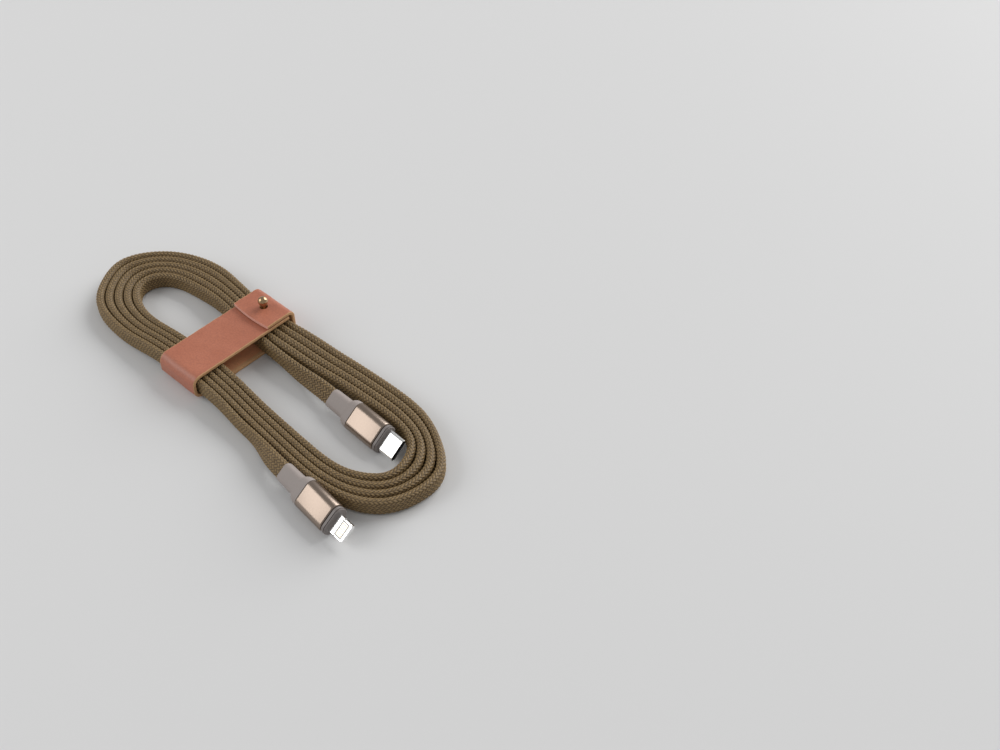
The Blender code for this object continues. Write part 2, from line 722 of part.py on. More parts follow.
def strap_band(frame):
    """One length of leather: from under the flap, round the left side and beneath, up to the hinge."""
    inner_high = HANK_TOP + GAP
    outer_high = inner_high + LEATHER
    left, right, bend = STRAP_LEFT, STRAP_RIGHT, STRAP_BEND
    steps = 7
    top = FLAP_HINGE[1] - FLAP_ROOT_RADIUS - GAP
    inner = bend - LEATHER
    top_inner = STRAP_TOP_BEND - LEATHER
    top_centre = (left + top_inner, outer_high - STRAP_TOP_BEND)
    outline = [(BAND_END, outer_high)]
    outline += arc(top_centre, STRAP_TOP_BEND, 90, 180, steps)
    outline += arc((left + inner, bend), bend, 180, 270, steps)
    outline += arc((right - inner, bend), bend, 270, 360, steps)
    pared, depth = FLAP_SKIVE
    outline += [(right + LEATHER, top - depth), (right + LEATHER - pared, top), (right, top)]
    outline += arc((right - inner, bend), inner, 360, 270, steps)
    outline += arc((left + inner, bend), inner, 270, 180, steps)
    outline += arc(top_centre, top_inner, 180, 90, steps)
    outline.append((BAND_END, inner_high))
    half = STRAP_WIDTH / 2
    band = as_mesh(prism("strap_band", (outline,), -half, half, frame, LEATHER_TAN))
    hole = turned_cutter("screw_hole_cutter", STUD_BORE_RADIUS + 0.15, 8)
    pocket = turned_cutter("screw_pocket_cutter", SCREW_HEAD_RADIUS + 0.2, 2)
    for cutter, height in ((hole, outer_high), (pocket, inner_high + SCREW_HEAD_HEIGHT + 0.2 - 1)):
        cutter.parent = frame
        cutter.location = (0, STUD_Y * MM, height * MM)
    cut(band, [hole, pocket])
    return inner_high


def strap_flap(hinge, band_top):
    """The closing end of the strap, drawn about its hinge line at the right-hand bend."""
    y0, z0 = FLAP_HINGE
    low = band_top + GAP - z0
    high = low + LEATHER
    bend = high
    outline = [(FLAP_END - y0, high), (FLAP_END - y0, low)]
    outline += [(-bend * 0.55, low)]
    outline += arc((0, 0), FLAP_ROOT_RADIUS, 180, 360, 9)
    outline += arc((FLAP_ROOT_RADIUS - bend, 0), bend, 0, 90, 8)[1:]
    half = STRAP_WIDTH / 2
    flap = as_mesh(prism("strap_flap", (outline,), -half, half, hinge, LEATHER_TAN))
    slot_outline = arc((0, SLOT_FAR - SLOT_RADIUS - y0), SLOT_RADIUS, 0, 180, 9)
    slot_outline += arc((0, SLOT_NEAR + SLOT_RADIUS - y0), SLOT_RADIUS, 180, 360, 9)
    slot = drawing("flap_slot_cutter", [slot_outline], 3 * LEATHER)
    slot.parent = hinge
    slot.location = (0, 0, (low + high) / 2 * MM)
    CUTTERS.objects.link(slot)
    cut(flap, [as_mesh(slot)])


def strap_stud(frame, band_top):
    """A turned ball stud: flange, waisted neck and ball, bored from below for its screw."""
    base = band_top + 0.05
    centre = band_top + STUD_BALL_HEIGHT
    ball = [
        (STUD_BALL_RADIUS * math.cos(math.radians(a)), centre + STUD_BALL_RADIUS * math.sin(math.radians(a)))
        for a in range(90, -59, -10)
    ]
    ball[0] = (0.0, ball[0][1])
    profile = ball + [
        (STUD_NECK_RADIUS, ball[-1][1] - 0.15),
        (STUD_NECK_RADIUS, base + STUD_FLANGE_HEIGHT + 0.2),
        (STUD_NECK_RADIUS + 0.2, base + STUD_FLANGE_HEIGHT),
        (STUD_FLANGE_RADIUS, base + STUD_FLANGE_HEIGHT),
        (STUD_FLANGE_RADIUS, base),
        (STUD_BORE_RADIUS, base),
        (STUD_BORE_RADIUS, base + STUD_BORE_DEPTH),
        (0.0, base + STUD_BORE_DEPTH),
    ]
    stud = turned("strap_stud", profile, frame, BRASS)
    stud.location = (0, STUD_Y * MM, 0)
    head_low = HANK_TOP + GAP + 0.1
    shaft = STUD_BORE_RADIUS - FIT
    screw_profile = [
        (0.0, base + STUD_BORE_DEPTH - 0.4),
        (shaft, base + STUD_BORE_DEPTH - 0.4),
        (shaft, head_low + SCREW_HEAD_HEIGHT),
        (SCREW_HEAD_RADIUS, head_low + SCREW_HEAD_HEIGHT),
        (SCREW_HEAD_RADIUS, head_low),
        (0.0, head_low),
    ]
    screw = turned("stud_screw", screw_profile, frame, BRASS)
    screw.location = (0, STUD_Y * MM, 0)


def strap():
    slide = empty("strap_slide", (*STRAP_PLACE, 0), (0, 0, STRAP_YAW))
    inner_high = strap_band(slide)
    band_top = inner_high + LEATHER
    hinge = empty("flap_hinge", (0, *FLAP_HINGE), parent=slide)
    strap_flap(hinge, band_top)
    strap_stud(slide, band_top)


# ---------------------------------------------------------------- assembly

def plug_rear(frame, end):
    """Where the cord's end meets the strain relief, in the cable's frame, and the way it points."""
    bpy.context.view_layer.update()
    place = frame.matrix_world @ Matrix.Translation((end * MM, 0, 0))
    return np.array(place.translation) / MM, np.array(frame.matrix_world.col[0][:3])


def leads(usb_c, tab):
    """The cord's two free ends, each from where it leaves the hank to its plug's strain relief."""
    middle = CORD_WIDTH / 2
    (frame, end), roll = usb_c, USB_C_TURN[0]
    rear, forward = plug_rear(frame, end)
    start = wound(0)[0] + (0.6, -0.1)
    entry = rear - forward * GAP
    before = rear - forward * 5
    cord_lead("cord_usb_c_lead", [
        (*start, middle + CORD_LIFT, 90),
        (start[0] + 8, start[1], middle + 1.5, 88),
        (start[0] + 20, start[1] + 0.1, middle + 1.2, 66),
        (*before, roll + 6),
        (*entry, roll),
    ], LEAD_THICKNESS)
    (frame, end), roll = tab, TAB_TURN[0]
    rear, forward = plug_rear(frame, end)
    turn = turn_where(TURNS_AT_RIGHT + 0.5, TURNS_AT_RIGHT + 0.75, LEAD_LEAVES_AT)
    turns = np.array([turn + 0.0025, turn + 0.02])
    start, onward = wound(turns) + normals_at(turns)[0] * GAP
    entry = rear - forward * GAP
    before = rear - forward * 6
    cord_lead("cord_tab_lead", [
        (*start, middle + 0.1, 90),
        (*onward, middle + 0.1, 87),
        (*before, roll + 10),
        (*entry, roll),
    ], SQUEEZED_THICKNESS)


def shade_round_pieces():
    for obj in CABLE.objects:
        if obj.type == "MESH":
            obj.data.shade_smooth()
            obj.data.set_sharp_from_angle(angle=math.radians(35))


cord_hank()
strap()
leads(usb_c_plug(), tab_plug())
shade_round_pieces()
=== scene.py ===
"""The look of the charging cable: one long flat braid wound into a hank, a leather strap over a
ball stud, and two metal plugs. Lengths are millimetres until they pass through MM, and the camera,
floor and lights are placed in metres."""

import math

import bmesh
import bpy
import numpy as np
from mathutils import Matrix, Vector


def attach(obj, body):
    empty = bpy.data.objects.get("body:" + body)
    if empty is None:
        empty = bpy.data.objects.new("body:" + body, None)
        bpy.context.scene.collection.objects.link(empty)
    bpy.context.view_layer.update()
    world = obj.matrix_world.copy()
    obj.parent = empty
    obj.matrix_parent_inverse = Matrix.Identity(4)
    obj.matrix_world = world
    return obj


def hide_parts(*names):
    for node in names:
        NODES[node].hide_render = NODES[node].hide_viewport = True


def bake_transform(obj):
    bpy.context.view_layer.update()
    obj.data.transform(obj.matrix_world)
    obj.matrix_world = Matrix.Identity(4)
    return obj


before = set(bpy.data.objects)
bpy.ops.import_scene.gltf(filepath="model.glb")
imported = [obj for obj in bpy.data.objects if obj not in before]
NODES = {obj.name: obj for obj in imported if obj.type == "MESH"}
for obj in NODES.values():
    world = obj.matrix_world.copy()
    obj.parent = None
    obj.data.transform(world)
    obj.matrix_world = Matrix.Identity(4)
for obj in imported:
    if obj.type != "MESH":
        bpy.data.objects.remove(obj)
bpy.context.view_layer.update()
MM = 0.001
RNG = np.random.default_rng(7)


# ---------------------------------------------------------------- camera, floor and light

def make_camera():
    lens = bpy.data.cameras.new("camera")
    lens.lens = 48.4
    lens.sensor_width = 36.0
    lens.clip_start = 0.01
    camera = bpy.data.objects.new("camera", lens)
    camera.location = (0.2966, -0.1753, 0.3402)
    camera.rotation_euler = (math.radians(44.6), 0, math.radians(45))
    bpy.context.scene.collection.objects.link(camera)
    bpy.context.scene.camera = camera


def area_light(name, place, size, power):
    """A rectangular light that faces the hank."""
    data = bpy.data.lights.new(name, "AREA")
    data.shape = "RECTANGLE"
    data.size, data.size_y = size
    data.energy = power
    light = bpy.data.objects.new(name, data)
    light.location = place
    light.rotation_euler = (-Vector(place)).to_track_quat("-Z", "Y").to_euler()
    bpy.context.scene.collection.objects.link(light)


def make_studio():
    """The pale floor, an even surround and two area lights."""
    mesh = bpy.data.meshes.new("floor")
    half = 3.0
    mesh.from_pydata([(-half, -half, 0), (half, -half, 0), (half, half, 0), (-half, half, 0)], [],
                     [(0, 1, 2, 3)])
    floor = bpy.data.objects.new("floor", mesh)
    bpy.context.scene.collection.objects.link(floor)
    look = bpy.data.materials.new("pale_floor")
    look.use_nodes = True
    shader = look.node_tree.nodes["Principled BSDF"]
    shader.inputs["Base Color"].default_value = (0.66, 0.66, 0.66, 1)
    shader.inputs["Roughness"].default_value = 0.6
    shader.inputs["Specular IOR Level"].default_value = 0.2
    mesh.materials.append(look)
    world = bpy.data.worlds.new("studio")
    world.use_nodes = True
    world.node_tree.nodes["Background"].inputs["Color"].default_value = (1, 1, 1, 1)
    world.node_tree.nodes["Background"].inputs["Strength"].default_value = 0.42
    bpy.context.scene.world = world
    bpy.context.scene.view_settings.view_transform = "Standard"
    area_light("key", (0.1, 2.6, 1.4), (2.4, 2.4), 86.0)
    area_light("left_softbox", (-0.80, -0.92, 0.82), (1.1, 0.9), 8.0)


make_camera()
make_studio()


# ---------------------------------------------------------------- the cord's route

CORD_WIDTH = 6.4
CORD_THICKNESS = 3.2
BRAID_SQUEEZE = 0.97
CORD_LIFT = 1.7  # over the strap's lower layer
LIFT_HALF_LENGTH = 14.0
LIFT_RUN = 22.0
STRAP_PLACE = (-17.0, 1.1)
STRAP_YAW = math.radians(2.5)
LEAD_LEAVES_AT = 17.0
LEAD_STANDS_OUT = 0.3  # the tab lead, from the line of the turn that it leaves
LEAD_EASE = 0.04  # turns over which it moves out
LEAD_FIRST_TURNS = (0.0025, 0.02)  # its first two points, in turns past the place where it leaves
LEAD_SWELL = 20.0  # what the USB-C lead gains in thickness per turn where the hank begins
USB_C_LEAD_THICKNESS = 2.7
TAB_LEAD_THICKNESS = 2.6
LEAD_STARTS_OFF = (0.6, -0.1)  # the USB-C lead's first point, from the start of the first turn
LEAD_LEAVES_BETWEEN = (4.5, 4.75)  # turns
LEAD_STEP = 0.2  # along a lead's curve
HANK_POINTS = 8000
INTO_RELIEF = 3  # how far the cord runs inside each strain relief
SMOOTHING = 0.8
SMOOTHING_REACH = 2.0

# Where the first turn and the fourth turn pass, station by station, counter-clockwise.
HANK_STATIONS = (
    ((-6.5, 9.8), (-6.5, 18.7)),
    ((-24.5, 10.3), (-24.5, 18.1)),
    ((-40.5, 11.4), (-41.0, 19.5)),
    ((-53.5, 10.4), (-55.0, 19.4)),
    ((-60.5, 8.2), (-66.8, 15.0)),
    ((-65.3, 4.1), (-74.7, 7.5)),
    ((-66.6, -1.3), (-77.6, -1.4)),
    ((-64.5, -5.8), (-74.1, -9.5)),
    ((-59.2, -9.3), (-66.8, -16.4)),
    ((-50.5, -11.3), (-54.0, -19.3)),
    ((-36.5, -10.9), (-38.0, -18.6)),
    ((-21.5, -9.4), (-21.5, -16.9)),
    ((-2.5, -9.1), (-2.5, -16.4)),
    ((20.5, -9.7), (20.5, -17.0)),
    ((40.5, -10.3), (40.5, -18.0)),
    ((55.5, -9.5), (58.5, -17.4)),
    ((64.0, -6.1), (72.0, -12.9)),
    ((68.5, -2.1), (78.6, -6.1)),
    ((70.2, 2.3), (81.3, 2.4)),
    ((69.2, 8.5), (80.4, 12.3)),
    ((64.3, 15.2), (72.2, 20.5)),
    ((54.1, 18.1), (58.2, 26.2)),
    ((41.5, 18.1), (42.5, 27.0)),
    ((23.5, 16.5), (23.5, 25.7)),
    ((7.5, 14.2), (7.5, 23.8)),
)

# Plugs: the origin is the collar's front face, +X the way the plug goes in, +Y across its width.
USB_C_PLACE = (57.3, 9.8, 4.75)
USB_C_TURN = (38.5, 0.0, -0.4)
TAB_PLACE = (72.4, -24.6, 5.1)
TAB_TURN = (39.8, 1.0, -3.2)
RELIEF_REAR = -27.75


def read_spline(values, bends, knots, k, after, places):
    """A cubic spline at places that lie in its spans k, each of which ends at the knot after."""
    span = np.diff(knots)[k][:, None]
    t = (places - knots[k])[:, None]
    cubes = bends[k] * (span - t) ** 3 / (6 * span) + bends[after] * t**3 / (6 * span)
    near = (values[k] / span - bends[k] * span / 6) * (span - t)
    far = (values[after] / span - bends[after] * span / 6) * t
    return cubes + near + far


def closed_spline(knots, values, places):
    """A smooth closed curve through the values, read at places from 0 to 1."""
    count = len(values)
    spans = np.diff(knots)
    slopes = (np.roll(values, -1, axis=0) - values) / spans[:, None]
    system = np.zeros((count, count))
    sides = np.zeros_like(values)
    for i in range(count):
        system[i, i - 1] += spans[i - 1]
        system[i, i] += 2 * (spans[i - 1] + spans[i])
        system[i, (i + 1) % count] += spans[i]
        sides[i] = 6 * (slopes[i] - slopes[i - 1])
    bends = np.linalg.solve(system, sides)
    places = np.asarray(places) % 1.0
    k = np.clip(np.searchsorted(knots, places, side="right") - 1, 0, count - 1)
    return read_spline(values, bends, knots, k, (k + 1) % count, places)


FIRST_TURN = np.array([first for first, _ in HANK_STATIONS])
FOURTH_TURN = np.array([fourth for _, fourth in HANK_STATIONS])
TURN_PITCH = (FOURTH_TURN - FIRST_TURN) / 3
MIDDLE = (FIRST_TURN + FOURTH_TURN) / 2
STEPS = np.linalg.norm(np.roll(MIDDLE, -1, axis=0) - MIDDLE, axis=1)
KNOTS = np.concatenate([[0.0], np.cumsum(STEPS)]) / STEPS.sum()


def wound(turns):
    """Where the cord's middle line is, in plan, after so many turns of the hank."""
    turns = np.atleast_1d(np.asarray(turns, float))
    start = closed_spline(KNOTS, FIRST_TURN - KNOTS[:-1, None] * TURN_PITCH, turns)
    return start + turns[:, None] * closed_spline(KNOTS, TURN_PITCH, turns)


def pitch_at(turns):
    """The distance from one turn to the next, square to the cord, and the way out of the hank."""
    step = 1e-4
    along = wound(turns + step) - wound(turns - step)
    along /= np.linalg.norm(along, axis=1)[:, None]
    outward = np.stack([along[:, 1], -along[:, 0]], axis=1)
    return np.abs(np.sum(closed_spline(KNOTS, TURN_PITCH, turns) * outward, axis=1)), outward


def ease(t):
    """Goes smoothly from 0 to 1, and stays level outside that."""
    t = np.clip(t, 0, 1)
    return t * t * (3 - 2 * t)


def lift(points):
    """How far the strap's lower layer raises the cord off the floor."""
    along = (points[:, 0] - STRAP_PLACE[0]) * math.cos(STRAP_YAW)
    along += (points[:, 1] - STRAP_PLACE[1]) * math.sin(STRAP_YAW)
    return CORD_LIFT * (1 - ease((np.abs(along) - LIFT_HALF_LENGTH) / LIFT_RUN))


def turn_where(start, end, x):
    """The turn count at which the wound cord is nearest to x, between two turn counts."""
    turns = np.linspace(start, end, 4000)
    return turns[np.argmin(np.abs(wound(turns)[:, 0] - x))]


def smooth_path(points, step):
    """Evenly spaced points on a smooth curve through a few points of any width."""
    points = np.asarray(points, float)
    knots = np.concatenate([[0], np.cumsum(np.linalg.norm(np.diff(points[:, :3], axis=0), axis=1))])
    count = len(points)
    spans = np.diff(knots)
    slopes = np.diff(points, axis=0) / spans[:, None]
    system = np.eye(count)
    sides = np.zeros_like(points)
    for i in range(1, count - 1):
        system[i, i - 1 : i + 2] = spans[i - 1], 2 * (spans[i - 1] + spans[i]), spans[i]
        sides[i] = 6 * (slopes[i] - slopes[i - 1])
    bends = np.linalg.solve(system, sides)
    places = np.linspace(0, knots[-1], max(3, round(knots[-1] / step) + 1))
    k = np.clip(np.searchsorted(knots, places, side="right") - 1, 0, count - 2)
    return read_spline(points, bends, knots, k, k + 1, places)


def plug_matrix(place, turn):
    """The plug's frame in the row frame, in millimetres."""
    roll, nose_down, yaw = (math.radians(angle) for angle in turn)
    place = Matrix.Translation(place)
    aim = Matrix.Rotation(yaw, 4, "Z") @ Matrix.Rotation(nose_down, 4, "Y")
    return place @ aim @ Matrix.Rotation(roll, 4, "X")


USB_C_FRAME = plug_matrix(USB_C_PLACE, USB_C_TURN)
TAB_FRAME = plug_matrix(TAB_PLACE, TAB_TURN)


def rear_of(matrix):
    """The rear face of a plug's strain relief, and the way the plug points."""
    return np.array(matrix @ Vector((RELIEF_REAR, 0, 0))), np.array(matrix.col[0][:3])


def cord_route():
    """Points (x, y, z, roll, thickness) from one strain relief, round the hank, to the other."""
    rear, forward = rear_of(USB_C_FRAME)
    roll = USB_C_TURN[0]
    start = wound(0)[0] + LEAD_STARTS_OFF
    lead = smooth_path([
        (*start, CORD_WIDTH / 2 + CORD_LIFT, 90),
        (start[0] + 8, start[1], CORD_WIDTH / 2 + 1.5, 88),
        (start[0] + 20, start[1] + 0.1, CORD_WIDTH / 2 + 1.2, 66),
        (*(rear - forward * 5), roll + 6),
        (*(rear + forward * INTO_RELIEF), roll),
    ], LEAD_STEP)[::-1]
    lead = np.column_stack([lead, np.full(len(lead), USB_C_LEAD_THICKNESS)])
    leaves = turn_where(*LEAD_LEAVES_BETWEEN, LEAD_LEAVES_AT)
    turns = np.linspace(0, leaves, HANK_POINTS)
    plan = wound(turns)
    pitch, outward = pitch_at(turns)
    plan += outward * (LEAD_STANDS_OUT * ease((turns - leaves + LEAD_EASE) / LEAD_EASE))[:, None]
    thick = np.minimum(CORD_THICKNESS, BRAID_SQUEEZE * pitch)
    thick = np.minimum(thick, USB_C_LEAD_THICKNESS + LEAD_SWELL * turns)
    hank = np.column_stack([plan, CORD_WIDTH / 2 + lift(plan), np.full(len(plan), 90.0), thick])
    rear, forward = rear_of(TAB_FRAME)
    roll = TAB_TURN[0]
    ends = leaves + np.array(LEAD_FIRST_TURNS)
    first, onward = wound(ends) + pitch_at(ends)[1] * LEAD_STANDS_OUT
    tail = smooth_path([
        (*first, CORD_WIDTH / 2 + 0.1, 90, thick[-1]),
        (*onward, CORD_WIDTH / 2 + 0.1, 87, thick[-1]),
        (*(rear - forward * 6), roll + 10, TAB_LEAD_THICKNESS),
        (*(rear + forward * INTO_RELIEF), roll, TAB_LEAD_THICKNESS),
    ], LEAD_STEP)
    return np.concatenate([lead, hank, tail])


def evenly(points, step):
    """The same curve, read at even steps and smoothed over a millimetre or so, and how far along each is."""
    along = np.concatenate([[0], np.cumsum(np.linalg.norm(np.diff(points[:, :3], axis=0), axis=1))])
    count = round(along[-1] / step)
    places = np.linspace(0, along[-1], count + 1)
    even = np.column_stack([np.interp(places, along, column) for column in points.T])
    reach = round(SMOOTHING_REACH / step)
    kernel = np.exp(-0.5 * (np.arange(-reach, reach + 1) / (SMOOTHING / step)) ** 2)
    kernel /= kernel.sum()
    padded = np.pad(even, ((reach, reach), (0, 0)), mode="reflect", reflect_type="odd")
    return np.column_stack([np.convolve(column, kernel, mode="valid") for column in padded.T]), places


# ---------------------------------------------------------------- the braid

YARNS = 16  # each way round the cord
PICK = 1.45  # along the cord from one yarn to the next
SAMPLES = 6  # per yarn
YARN_HEIGHT = 0.40
YARN_WAVE = 0.20
YARN_SINK = 0.55  # the braid's valleys below its smooth section
BRAID_INSET = 0.12  # off the cord's thickness, so that the yarns of neighbouring turns stay apart
UPRIGHT = 89.5  # the roll, in degrees, from which the cord stands on its edge
FILAMENT_ROWS = 4  # fine lines along each yarn


def section(share, thickness):
    """Places across the width and the thickness of a flat section with round edges, and the way out."""
    radius = thickness[:, None] / 2
    flat = CORD_WIDTH - 2 * radius
    half = flat + math.pi * radius
    place = (2 * share[None, :] % 1.0) * half - half / 2
    side = np.where(share < 0.5, 1.0, -1.0)[None, :]
    bend = np.clip(place / radius, -math.pi / 2, math.pi / 2)
    straight = np.maximum(np.abs(place) - math.pi * radius / 2, 0)
    out_across = side * np.cos(bend)
    out_through = -side * np.sin(bend)
    across = side * (flat / 2 - straight) + radius * out_across
    return across, radius * out_through, out_across, out_through


def braid(around, along):
    """A two-over, two-under braid: its height, which way the upper yarn runs, and that yarn's number."""
    a = around + along
    b = around - along
    i, j = np.floor(a), np.floor(b)
    rise_a = np.cos(math.pi / 2 * (i + b - 1))
    rise_b = -np.cos(math.pi / 2 * (a + j - 1))
    round_a = np.sqrt(np.clip(1 - (2 * (a - i) - 1) ** 2, 0, 1))
    round_b = np.sqrt(np.clip(1 - (2 * (b - j) - 1) ** 2, 0, 1))
    height_a = YARN_WAVE * rise_a + YARN_HEIGHT * round_a
    height_b = YARN_WAVE * rise_b + YARN_HEIGHT * round_b
    upper = height_a >= height_b
    return np.where(upper, height_a, height_b), upper, np.where(upper, i % YARNS, YARNS + j % YARNS)


def make_mesh(name, points, faces):
    """A smooth-shaded piece made of quads, with its points given in millimetres."""
    mesh = bpy.data.meshes.new(name)
    mesh.vertices.add(len(points))
    mesh.vertices.foreach_set("co", (np.asarray(points) * MM).astype(np.float32).ravel())
    faces = np.asarray(faces, np.int32)
    mesh.loops.add(faces.size)
    mesh.loops.foreach_set("vertex_index", faces.ravel())
    mesh.polygons.add(len(faces))
    mesh.polygons.foreach_set("loop_start", np.arange(0, faces.size, faces.shape[1], dtype=np.int32))
    mesh.polygons.foreach_set("use_smooth", np.full(len(faces), True))
    mesh.update(calc_edges=True)
    mesh.validate()
    obj = bpy.data.objects.new(name, mesh)
    bpy.context.scene.collection.objects.link(obj)
    return obj


def tube_faces(rings, around):
    """Quads between neighbouring rings of a closed section."""
    ring, place = np.meshgrid(np.arange(rings - 1), np.arange(around), indexing="ij")
    after = (place + 1) % around
    corners = (ring * around + place, ring * around + after, (ring + 1) * around + after,
               (ring + 1) * around + place)
    return np.stack([corner.ravel() for corner in corners], axis=1)


def close_ends(piece, around, sharp, smooth=True, end_look=0):
    """Caps a tube's two ends, turns its faces outwards and keeps the edges past an angle sharp."""
    solid = bmesh.new()
    solid.from_mesh(piece.data)
    solid.verts.ensure_lookup_table()
    for start in (0, len(solid.verts) - around):
        cap = solid.faces.new([solid.verts[start + i] for i in range(around)])
        cap.smooth = smooth
        cap.material_index = end_look
    bmesh.ops.recalc_face_normals(solid, faces=solid.faces)
    solid.to_mesh(piece.data)
    solid.free()
    piece.data.set_sharp_from_angle(angle=math.radians(sharp))


def make_cord():
    """The whole cord as one braided tube, keeping each yarn's tone, and its height for painted shade."""
    step = PICK / SAMPLES
    route, places = evenly(cord_route(), step)
    centres = route[:, :3]
    along = np.gradient(centres, axis=0)
    along /= np.linalg.norm(along, axis=1)[:, None]
    # Both leads' rolls are measured looking towards their plugs; the first lead is walked backwards.
    facing = np.where(np.arange(len(route)) < np.argmax(route[:, 3] > UPRIGHT), -1.0, 1.0)[:, None] * along
    level = np.stack([-facing[:, 1], facing[:, 0], np.zeros(len(route))], axis=1)
    level /= np.linalg.norm(level, axis=1)[:, None]
    roll = np.radians(route[:, 3])[:, None]
    across = np.cos(roll) * level + np.sin(roll) * np.cross(facing, level)
    through = np.cross(along, across)
    around = YARNS * SAMPLES
    share = np.arange(around) / around
    w, n, out_w, out_n = section(share, route[:, 4] - BRAID_INSET)
    height, upper, number = braid((share * YARNS)[None, :], (places / PICK)[:, None])
    w, n = w + out_w * (height - YARN_SINK), n + out_n * (height - YARN_SINK)
    points = centres[:, None, :] + w[..., None] * across[:, None, :] + n[..., None] * through[:, None, :]
    rings = len(points)
    cord = make_mesh("braided_cord", points.reshape(-1, 3), tube_faces(rings, around))
    tone = RNG.uniform(0, 1, 2 * YARNS)[number.astype(int)]
    # Painted shade: each point's height in the braid, which the look turns into dark valleys between the
    # yarns.
    depth = np.clip(height / (YARN_HEIGHT + YARN_WAVE), 0, 1)
    values = np.stack([depth, tone, upper * 1.0, np.ones_like(depth)], axis=-1).astype(np.float32)
    thread = cord.data.color_attributes.new("thread", "FLOAT_COLOR", "POINT")
    thread.data.foreach_set("color", values.ravel())
    ring, place = np.meshgrid(np.arange(rings - 1), np.arange(around), indexing="ij")
    u = np.stack([place, place + 1, place + 1, place], axis=-1) / SAMPLES
    v = np.stack([ring, ring, ring + 1, ring + 1], axis=-1) / SAMPLES
    layer = cord.data.uv_layers.new(name="yarns")
    layer.data.foreach_set("uv", np.stack([u, v], axis=-1).astype(np.float32).ravel())
    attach(cord, "cable")
    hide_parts("cord_hank", "cord_usb_c_lead", "cord_tab_lead")
    return cord, centres


# ---------------------------------------------------------------- materials

def node_look(name, roughness, metallic=0.0):
    """A new material, with its node tree and its one shader."""
    look = bpy.data.materials.new(name)
    look.use_nodes = True
    tree = look.node_tree
    shader = tree.nodes["Principled BSDF"]
    shader.inputs["Roughness"].default_value = roughness
    shader.inputs["Metallic"].default_value = metallic
    return look, tree, shader


def feed(tree, socket, value):
    """Links another node's output to a socket, or sets the socket's own number or colour."""
    if hasattr(value, "is_output"):
        tree.links.new(value, socket)
    elif isinstance(value, tuple):
        socket.default_value = (*value, 1)
    else:
        socket.default_value = value


def add(tree, kind, **inputs):
    """A new node with some of its inputs linked or set."""
    node = tree.nodes.new(kind)
    for key, value in inputs.items():
        feed(tree, node.inputs[key], value)
    return node


def maths(tree, operation, *values, clamp=False):
    node = tree.nodes.new("ShaderNodeMath")
    node.operation = operation
    node.use_clamp = clamp
    for socket, value in zip(node.inputs, values):
        feed(tree, socket, value)
    return node.outputs[0]


def blend_colours(tree, share, first, second):
    node = tree.nodes.new("ShaderNodeMix")
    node.data_type = "RGBA"
    for socket, value in zip((node.inputs[0], node.inputs[6], node.inputs[7]), (share, first, second)):
        feed(tree, socket, value)
    return node.outputs[2]


def noise(tree, scale, detail=4.0):
    """Fractal noise fixed to the piece, with its scale in cells per metre."""
    places = tree.nodes.new("ShaderNodeTexCoord").outputs["Object"]
    node = add(tree, "ShaderNodeTexNoise", Vector=places, Scale=scale, Detail=detail, Roughness=0.6)
    return node.outputs[0]


def bump(tree, shader, height, distance):
    node = add(tree, "ShaderNodeBump", Height=height, Distance=distance * MM, Strength=1.0)
    tree.links.new(node.outputs["Normal"], shader.inputs["Normal"])


YARN_DARK = (0.135, 0.076, 0.021)
YARN_LIGHT = (0.225, 0.135, 0.046)
YARN_FLECKS = (0.40, 0.27, 0.12)
# Painted shade: the darker colour of the fine lines between the filaments.
PAINTED_FILAMENT_SHADE = (0.10, 0.065, 0.03)
# Painted shade: the near-black colour of the valleys between the yarns.
PAINTED_VALLEY_SHADE = (0.020, 0.011, 0.004)
LEATHER_DARK = (0.39, 0.121, 0.064)
LEATHER_LIGHT = (0.545, 0.198, 0.116)
# Painted shade: the darker colour in the hollows between the grain's pebbles.
LEATHER_CREASE_SHADE = (0.29, 0.095, 0.058)


def braid_look():
    """Olive yarns with fine filaments, mottled here and there, with painted shade that is darkest in the
    valleys between them.
    """
    look, tree, shader = node_look("olive_braid", 0.55)
    thread = tree.nodes.new("ShaderNodeAttribute")
    thread.attribute_name = "thread"
    parts = add(tree, "ShaderNodeSeparateColor", Color=thread.outputs["Color"])
    depth, tone, upper = parts.outputs
    places = tree.nodes.new("ShaderNodeUVMap")
    places.uv_map = "yarns"
    uv = add(tree, "ShaderNodeSeparateXYZ", Vector=places.outputs[0])
    filaments = []
    for operation in ("ADD", "SUBTRACT"):
        across = maths(tree, operation, uv.outputs[0], uv.outputs[1])
        filaments.append(maths(tree, "SINE", maths(tree, "MULTIPLY", across, 2 * math.pi * FILAMENT_ROWS)))
    mixed = tree.nodes.new("ShaderNodeMix")
    for socket, value in zip((mixed.inputs[0], mixed.inputs[2], mixed.inputs[3]),
                             (upper, filaments[1], filaments[0])):
        tree.links.new(value, socket)
    filament = mixed.outputs[0]
    colour = blend_colours(tree, tone, YARN_DARK, YARN_LIGHT)
    mottle = maths(tree, "MULTIPLY_ADD", noise(tree, 900), 1.6, -0.3, clamp=True)
    colour = blend_colours(tree, mottle, colour, YARN_FLECKS)
    # Painted shade: fine dark lines along the filaments.
    filament_shade = maths(tree, "MULTIPLY_ADD", filament, 0.12, 0.14, clamp=True)
    colour = blend_colours(tree, filament_shade, colour, PAINTED_FILAMENT_SHADE)
    # Painted shade: the braid's low places, by their height, blend towards the near-black valley colour.
    high = tree.nodes.new("ShaderNodeMapRange")
    high.inputs["From Min"].default_value = 0.40
    high.inputs["From Max"].default_value = 0.92
    tree.links.new(depth, high.inputs["Value"])
    colour = blend_colours(tree, high.outputs[0], PAINTED_VALLEY_SHADE, colour)
    tree.links.new(colour, shader.inputs["Base Color"])
    shader.inputs["Specular IOR Level"].default_value = 0.5
    bump(tree, shader, maths(tree, "MULTIPLY_ADD", filament, 0.5, noise(tree, 3000)), 0.03)
    return look


cord, cord_line = make_cord()
cord.data.materials.append(braid_look())


